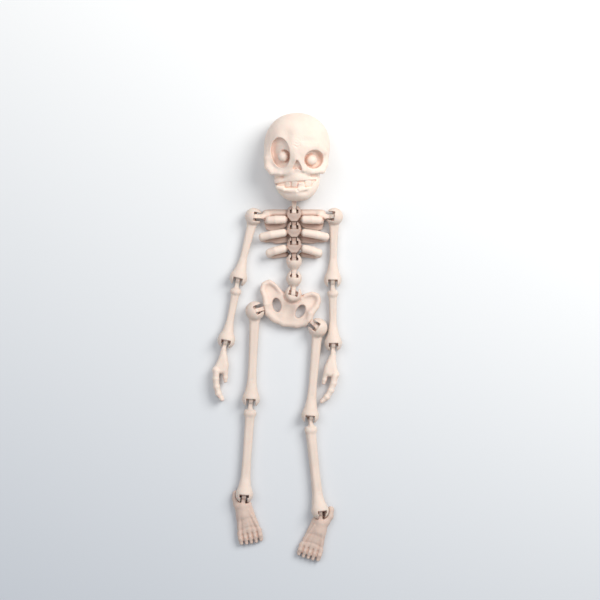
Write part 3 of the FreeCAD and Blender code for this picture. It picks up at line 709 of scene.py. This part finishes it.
def chest_field(p):
    """The collar plate with a shoulder ring each side, the first ribs and their vertebra."""
    core, lower = chest_core(p, CHEST_PITCH)
    back = mirrored([
        (0, 1.1), (5, 1.3), (12.5, 1.4), (15.0, 0.4), (15.4, -2.4),
        (14.8, -5.6), (13.9, -9.4), (9.0, -8.9), (4.6, -7.9), (0, -5.0),
    ])
    field = plate(p, smooth_outline(back), 0, 2.7, 0.7)
    collar = rod(p, (-14.0, -0.6, 2.4), (14.0, -0.6, 2.4), 1.9)
    field = join(field, collar, 1.0)
    for side in (-1, 1):
        front = rib(
            p,
            side,
            [(5.2, -3.7, 6.4), (9.0, -3.8, 6.6), (12.2, -4.0, 6.0), (13.2, -4.3, 3.8), (12.2, -4.6, 1.8)],
            [2.0, 2.1, 1.95, 1.6, 1.5],
        )
        arm = rod(p, (side * 13.2, -1.6, 3.2), (side * 15.6, -2.1, 3.8), 2.2, 1.5)
        field = join(join(field, arm, 0.8), front, 0.4)
    field = join(field, core, 0.5)
    room = ball(p, (0, -CHEST_PITCH, LINK_HEIGHT), CHEST_BALL + BALL_ROOM)
    field = carve(field, room, 0.3)
    for side in (-1, 1):
        hook = ring(p, LIMB, 5.4, at=(side * SHOULDER[0], SHOULDER[1]), turn=-side * 90)
        field = join(field, hook, 0.5)
    return join(socket(p, field, SPINE, CHEST_BALL, **CHEST_SLOT), lower, 0.5)


def rib_vertebra_field(outer, heights, back, next_ball, pitch):
    """A vertebra with a rib each side, whose bar rises towards the spine."""
    inner_height, outer_height = heights

    def field_of(p):
        field, lower = chest_core(p, pitch)
        if back:
            field = join(field, plate(p, smooth_outline(mirrored(back)), 0, 2.2, 0.6), 0.6)
        for side in (-1, 1):
            front = rib(
                p,
                side,
                [
                    (5.3, inner_height, 6.4),
                    (outer * 0.62, (inner_height + outer_height) / 2, 6.6),
                    (outer - 2.6, outer_height, 5.6),
                    (outer - 2.6, outer_height - 1.0, 3.4),
                    (outer - 4.4, outer_height - 1.6, 1.6),
                    (4.0, inner_height - 2.8, 1.2),
                ],
                [2.0, 2.1, 1.95, 1.6, 1.3, 1.3],
            )
            field = join(field, front, 0.3)
        room = ball(p, (0, -pitch, LINK_HEIGHT), next_ball + BALL_ROOM)
        field = carve(field, room, 0.3)
        return join(socket(p, field, SPINE, CHEST_BALL, **CHEST_SLOT), lower, 0.5)

    return field_of


def lumbar_field(family, pitch):
    """A vertebra without ribs, whose lower ring is of the family given."""
    def field_of(p):
        core, lower = lumbar_core(p, family, pitch)
        split = socket(p, core, SPINE, LUMBAR_BALL, neck=1.6, back=2.4, chamber=1.3)
        return join(split, lower, 0.5)

    return field_of


# Pelvis

def wing_rims(p):
    left_rim = chain(
        p,
        [(-6.6, -0.6, 4.0), (-9.4, 1.6, 4.1), (-13.0, 2.9, 4.0), (-15.4, 0.8, 4.0), (-15.2, -2.2, 4.2),
         (-13.0, -5.4, 4.6), (-11.6, -8.4, 4.8), (-11.2, -11.4, 4.2)],
        [0.6, 0.7, 0.8, 0.9, 1.1, 1.3, 1.7, 1.7],
        0.3,
    )
    right_rim = chain(
        p,
        [(5.8, 0.6, 4.0), (9.2, 2.6, 4.1), (12.2, 2.0, 4.0), (13.2, -0.2, 4.0), (12.8, -3.4, 4.4),
         (10.9, -7.2, 4.8), (10.9, -10.6, 4.6)],
        [0.6, 0.7, 0.8, 0.9, 1.2, 1.7, 1.7],
        0.3,
    )
    return join(left_rim, right_rim)


def pelvis_field(p):
    """Two wings with bowls, a cup for the spine, two windows and a bar to each hip."""
    outline = [
        (0, -1.4), (3.9, -0.2), (5.9, 1.6), (9.2, 3.6), (12.4, 3.2), (14.1, 0.6),
        (13.9, -3.4), (11.9, -7.0), (11.4, -10.4), (10.6, -13.2), (6.9, -15.0), (2.6, -16.3),
        (-1.2, -16.7), (-7.4, -15.1), (-10.9, -13.8), (-12.0, -10.4), (-12.6, -7.4), (-14.6, -4.6),
        (-16.6, -1.6), (-15.9, 1.8), (-13.2, 3.7), (-9.2, 2.2), (-6.2, -0.2),
    ]
    field = plate(p, smooth_outline(outline), 0, 4.9, 1.5)
    field = carve(field, egg(p, (-11.4, -0.9, 9.0), (6.2, 5.4, 5.4), 28), 1.6)
    field = carve(field, egg(p, (9.6, -0.7, 9.0), (5.4, 5.0, 5.4), -28), 1.6)
    field = join(field, wing_rims(p), 1.4)
    for side in (-1, 1):
        ischium = rod(p, (side * 9.6, -12.2, 3.9), (side * 5.6, -14.6, 3.7), 1.7, 1.5)
        field = join(field, ischium, 1.2)
    field = carve(field, egg(p, (-0.4, -8.4, 7.6), (3.9, 4.8, 4.0)), 1.6)
    low_rim = chain(p, [(-6.6, -14.4, 3.5), (-1.0, -15.6, 3.7), (5.8, -14.2, 3.6)], [1.2, 1.2, 1.2], 0.8)
    field = join(field, low_rim, 1.2)
    for x, lean in ((-6.5, 26), (5.7, -14)):
        field = carve(field, egg(p, (x, -7.5, 3.0), (2.1, 3.5, 12.0), lean), 0.8)
    cup = meet(ball(p, (0, 0, LINK_HEIGHT), LIMB_BALL - 0.1), p[:, 2] - 7.4, 0.6)
    field = join(field, cup, 0.8)
    under_cup = [(-4.2, -2.0), (-3.3, -3.6), (0, -4.9), (3.3, -3.6), (4.2, -2.0)]
    field = field + 0.4 * groove(p, under_cup, 0.5)
    for side in (-1, 1):
        held = (side * HIP[0], HIP[1])
        room = ball(p, (*held, LINK_HEIGHT), HIP_BALL + BALL_ROOM)
        hook = ring(p, LIMB, 5.6, at=held, turn=-side * 120, flare=0.6)
        field = join(carve(field, room, 0.3), hook, 0.5)
    return socket(p, field, LIMB, LIMB_BALL, neck=2.1, back=2.2, chamber=1.5)


# Arms and legs

def shaft(p, points):
    """A bone's shaft along Y, eight-sided with a wide flat front, through pairs of Y and radius."""
    along = [y for y, radius in points]
    radii = [radius for y, radius in points]
    radius = np.interp(p[:, 1], along[::-1], radii[::-1]).astype(np.float32)
    across = np.abs(p[:, 0])
    up = np.abs(p[:, 2] - 2.5)
    sides = meet(meet(across, up, 0.3), (across + up) / 1.62, 0.3)
    ends = np.maximum(p[:, 1] - along[0], along[-1] - p[:, 1])
    return meet(sides - radius, ends, 0.4)


def lower_ball(p, reach, radius):
    """The flared end of a bone and the ball of its lower socket."""
    end = egg(p, (0, -reach, LINK_HEIGHT), (LIMB_BALL + 0.1, LIMB_BALL, LIMB_BALL))
    flare = rod(p, (0, -reach + 8.0, 2.8), (0, -reach + 2.2, 3.7), radius, LIMB_BALL - 0.9)
    return join(end, flare, 1.0)


def two_ball_field(reach, radius, upper_ball, mouth):
    """An upper arm or a thigh."""
    def field_of(p):
        bone = shaft(p, [
            (-1.0, radius + 0.9),
            (-6.5, radius + 0.25),
            (-reach * 0.45, radius - 0.05),
            (-reach * 0.66, radius - 0.15),
            (-reach + 8.0, radius + 0.15),
            (-reach + 3.0, radius + 0.9),
        ])
        field = join(bone, lower_ball(p, reach, radius - 0.1), 0.8)
        field = join(field, ball(p, (0, 0, LINK_HEIGHT), upper_ball), 0.6)
        field = socket(p, field, LIMB, upper_ball, turn=mouth, neck=2.1, back=1.2)
        return socket(p, field, LIMB, LIMB_BALL, at=(0, -reach), turn=180)

    return field_of


def ring_bone_field(reach, radius, knob, back, chamber):
    """A forearm or a shin."""
    def field_of(p):
        width, tall = knob
        head = egg(p, (0, -4.9 - tall, 2.9), (width, tall, 2.7))
        bone = shaft(p, [
            (-5.6, radius + 0.3),
            (-9.5 - tall, radius),
            (-reach * 0.62, radius - 0.15),
            (-reach + 8.0, radius + 0.1),
            (-reach + 3.0, radius + 0.8),
        ])
        field = join(join(head, bone, 0.7), lower_ball(p, reach, radius - 0.1), 0.8)
        field = join(field, ring(p, LIMB, 5.8, flare=0.5), 0.6)
        slot = {"neck": 1.75, "back": back, "chamber": chamber}
        return socket(p, field, LIMB, LIMB_BALL, at=(0, -reach), turn=180, **slot)

    return field_of


# Hands and feet

def hand_field(sign):
    """A palm with a thumb, and three fingers stacked and curled to one side."""
    def field_of(p):
        q = p * np.float32((sign, 1, 1))
        outline = [
            (0.9, -4.9), (1.3, -8.4), (1.9, -12.4), (2.6, -15.4), (1.8, -17.6),
            (-0.8, -17.2), (-2.2, -16.8), (-4.4, -15.6), (-4.2, -12.4), (-3.1, -8.6), (-1.1, -4.9),
        ]
        palm = plate(q, smooth_outline(outline), 0.2, 5.6, 1.7)
        knuckle = egg(q, (1.5, -15.9, 4.2), (1.5, 1.6, 1.9))
        thumb = chain(
            q,
            [(-2.8, -12.0, 3.6), (-3.7, -15.8, 3.6), (-4.4, -18.2, 3.4), (-4.8, -19.8, 3.2)],
            [1.6, 1.25, 1.15, 0.95],
            0.5,
        )
        field = join(join(palm, knuckle, 1.0), thumb, 0.8)
        route = [(0.7, -16.2), (0.0, -20.0), (-1.3, -23.6), (-3.2, -26.8), (-5.6, -29.0)]
        sizes = [1.55, 1.45, 1.4, 1.3, 1.05]
        for height, shift in ((1.55, 0.0), (3.6, 0.25), (5.2, 0.0)):
            points = [(x + shift, y, height - 0.12 * step) for step, (x, y) in enumerate(route)]
            finger = chain(q, points, sizes, 0.15)
            for x, y, z in points[1:-1]:
                finger = join(finger, ball(q, (x, y, z), 1.62), 0.3)
            field = join(field, finger, 0.25)
        return join(field, ring(p, LIMB, 5.2, flare=0.3), 0.8)

    return field_of


def with_toes(q, field):
    """Five toes with their tendons, knuckles and nails, and the gaps between them."""
    for number in range(5):
        across = -3.75 + 2.45 * number
        fan = 1.9 + (across - 1.6) * 0.45
        tendon = rod(q, (fan, -8.0, 4.4), (across, -18.6, 2.9), 0.55, 0.95)
        field = join(field, tendon, 0.7)
        tip = -25.1 + (0.35 if number in (0, 4) else 0.0)
        knuckles = [(across, -18.6, 2.3), (across, -21.4, 2.55), (across, tip + 1.2, 1.7)]
        field = join(field, chain(q, knuckles, [1.25, 1.3, 1.2], 0.3), 0.2)
        field = join(field, ball(q, (across, -19.4, 2.5), 1.3), 0.4)
        nail = egg(q, (across, tip + 1.0, 2.5), (0.85, 0.9, 0.55))
        field = join(field, nail, 0.1)
    for number in range(4):
        gap = -2.52 + 2.45 * number
        field = field + 0.45 * groove(q, [(gap, -19.4), (gap, -23.0)], 0.35)
        field = field + 0.9 * groove(q, [(gap, -23.4), (gap, -26.0)], 0.3)
    return field


def foot_field(sign):
    """A sole with an instep, a heel beside the ankle, toes and two faint creases."""
    def field_of(p):
        q = turned(p, -sign * TOES_IN) * np.float32((sign, 1, 1))
        outline = [
            (3.2, -1.6), (5.4, -1.2), (5.6, -6.4), (6.3, -13.0), (7.3, -19.5), (7.4, -23.0), (1.4, -23.7),
            (-4.8, -23.0), (-5.0, -20.0), (-3.9, -14.5), (-2.9, -8.6), (-2.3, -3.4), (0.4, -3.6),
        ]
        sole = plate(q, smooth_outline(outline), 0, 3.5, 1.3)
        instep = chain(
            q,
            [(1.9, -5.8, 2.6), (2.2, -10.0, 2.3), (1.6, -17.0, 1.5)],
            [3.2, 3.1, 2.4],
            1.0,
        )
        field = join(sole, instep, 2.0)
        heel_x, heel_y = (5.0, 1.9) if sign > 0 else (4.2, 1.0)
        heel_points = [(heel_x, heel_y, 1.9), (heel_x + 0.4, -1.4, 2.1), (4.4, -4.6, 2.4)]
        heel = chain(q, heel_points, [1.7, 1.8, 2.0], 0.8)
        field = join(field, heel, 1.2)
        field = with_toes(q, field)
        field = field + 0.18 * groove(q, [(-4.4, -17.2), (1.4, -16.4), (6.6, -17.4)], 0.6)
        field = field + 0.12 * groove(q, [(-3.6, -12.6), (1.4, -12.0), (5.6, -12.8)], 0.7)
        field = carve(field, ball(p, (0, 0, LINK_HEIGHT), LIMB_BALL + ANKLE_ROOM), 0.3)
        return join(field, ring(p, LIMB, 6.2, flare=0.5), 0.6)

    return field_of


# The figure

def axis(name):
    """A joint's axis in the figure."""
    return Vector(joints[name]["axis"])


def lay_long_bone(name, upper, lower, across, field_for, half_width, top, height):
    """A bone between two links. Its field depends on how far they are apart."""
    reach = reach_between(upper, lower)
    low = (-half_width, -reach - 5, 0)
    high = (half_width, top, height)
    lay(name, field_for(reach), low, high, frame_along(upper, lower, across), bone_shade)


def lay_spine():
    """The skull, the vertebrae with and without ribs, and the pelvis."""
    straight = (1, 0, 0)
    neck = frame_at(spot("neck"), straight)
    lay("skull", skull_field, (-17, -3, 0), (20, 50, 25), neck, skull_shade, STEP * 1.05)
    lay("chest_vertebra", chest_field, (-23.5, -11, 0), (23.5, 4.5, 9.5), neck, spine_shade)
    back = [(0, -3.0), (4, -3.2), (9.0, -3.6), (12.0, -5.2), (11.4, -7.8), (5.0, -7.7), (0, -6.0)]
    second = rib_vertebra_field(18.2, (-2.5, -4.4), back, CHEST_BALL, CHEST_PITCH)
    upper_chest = frame_at(spot("upper_chest"), straight)
    lay("second_rib_vertebra", second, (-19, -11, 0), (19, 4, 9.5), upper_chest, spine_shade)
    third = rib_vertebra_field(14.8, (-2.6, -4.6), [], LUMBAR_BALL, LUMBAR_PITCH)
    lower_chest = frame_at(spot("lower_chest"), straight)
    lay("third_rib_vertebra", third, (-16, -12, 0), (16, 4, 9.5), lower_chest, spine_shade)

    low, high = (-4.5, -12, 0), (4.5, 4.5, 9)
    upper_lumbar = lumbar_field(SPINE, LUMBAR_PITCH)
    waist = frame_at(spot("waist_top"), straight)
    lay("upper_lumbar_vertebra", upper_lumbar, low, high, waist, bone_shade)
    lower_lumbar = lumbar_field(LIMB, LOWEST_PITCH)
    lower_waist = frame_at(spot("waist_middle"), -axis("waist_middle"))
    lay("lower_lumbar_vertebra", lower_lumbar, low, high, lower_waist, bone_shade)
    hips = frame_at(spot("waist_bottom"), -axis("waist_bottom"))
    lay("pelvis", pelvis_field, (-19.5, -19, 0), (19.5, 5.5, 9), hips, pelvis_shade)


def lay_arm(side, sign):
    """Upper arm, forearm and hand. Sign is 1 on the +X side and -1 on the other."""
    shoulder, elbow, wrist = (f"{side}_{link}" for link in ("shoulder", "elbow", "wrist"))

    def upper_arm(reach):
        return two_ball_field(reach, 1.95, LIMB_BALL, sign * SHOULDER_SLOT_TURN)

    def forearm(reach):
        return ring_bone_field(reach, 1.9, (2.8, 2.0), 1.1, 1.9)

    lay_long_bone(f"{side}_upper_arm", shoulder, elbow, -axis(elbow), upper_arm, 5, 5, 9)
    lay_long_bone(f"{side}_forearm", elbow, wrist, -axis(wrist), forearm, 5, 3.5, 9)
    low_x, high_x = (-8, 4.5) if sign > 0 else (-4.5, 8)
    matrix = frame_with_yaw(spot(wrist), HAND_YAW[side])
    lay(f"{side}_hand", hand_field(sign), (low_x, -31.5, 0), (high_x, 3.5, 8), matrix, hand_shade)


def lay_leg(side, sign):
    """Thigh, shin and foot. Sign is 1 on the +X side and -1 on the other."""
    hip, knee, ankle = (f"{side}_{link}" for link in ("hip", "knee", "ankle"))

    def thigh(reach):
        return two_ball_field(reach, 2.2, HIP_BALL, sign * HIP_SLOT_TURN)

    def shin(reach):
        return ring_bone_field(reach, 2.3, (3.2, 2.4), 1.4, 1.4)

    lay_long_bone(f"{side}_thigh", hip, knee, axis(knee), thigh, 5.5, 5.5, 9.5)
    lay_long_bone(f"{side}_shin", knee, ankle, -axis(ankle), shin, 5, 3.5, 9)
    low_x, high_x = (-14, 9.5) if sign > 0 else (-9.5, 14)
    matrix = frame_with_yaw(spot(ankle), FOOT_YAW[side])
    lay(f"{side}_foot", foot_field(sign), (low_x, -28, 0), (high_x, 6, 8), matrix, foot_shade)


def build_figure():
    lay_spine()
    for side, sign in (("left", -1), ("right", 1)):
        lay_arm(side, sign)
        lay_leg(side, sign)


# Floor, light and camera

def add_floor():
    """Paper a hair under the figure's back, wider than the view."""
    mesh = bpy.data.meshes.new("floor")
    half = 1.5
    corners = [(-half, -half, 0), (half, -half, 0), (half, half, 0), (-half, half, 0)]
    mesh.from_pydata(corners, [], [(0, 1, 2, 3)])
    mesh.materials.append(floor_paper())
    floor = bpy.data.objects.new("floor", mesh)
    floor.location.z = -0.05 * MM
    bpy.context.collection.objects.link(floor)


def add_light(name, place, target, size, power, colour):
    """A round soft light at a place, in metres, turned to its target."""
    light = bpy.data.lights.new(name, "AREA")
    light.shape = "DISK"
    light.size = size
    light.energy = power
    light.color = colour
    lamp = bpy.data.objects.new(name, light)
    lamp.location = place
    lamp.rotation_euler = (Vector(target) - Vector(place)).to_track_quat("-Z", "Y").to_euler()
    bpy.context.collection.objects.link(lamp)


def add_world():
    world = bpy.data.worlds.new("studio")
    bpy.context.scene.world = world
    world.use_nodes = True
    background = world.node_tree.nodes["Background"]
    background.inputs["Color"].default_value = (0.95, 0.97, 1.0, 1)
    background.inputs["Strength"].default_value = 0.38


def add_camera():
    """Straight above, far enough for the skull to keep its outline."""
    middle_x = 11.3 * MM
    middle_y = 18.7 * MM
    distance = 1.2
    frame_width = 0.3
    data = bpy.data.cameras.new("camera")
    data.angle = 2 * math.atan(frame_width / 2 / distance)
    camera = bpy.data.objects.new("camera", data)
    camera.location = (middle_x, middle_y, distance)
    bpy.context.collection.objects.link(camera)
    bpy.context.scene.camera = camera
    bpy.context.scene.view_settings.view_transform = "Standard"


build_figure()
add_floor()
add_light("key", (0.5, 0.42, 0.66), (0.03, 0.05, 0), size=0.6, power=6.5, colour=(1.0, 0.985, 0.955))
add_light("fill", (-0.35, 0.3, 0.9), (0.0, -0.02, 0), size=0.8, power=2.7, colour=(0.96, 0.97, 1.0))
add_world()
add_camera()
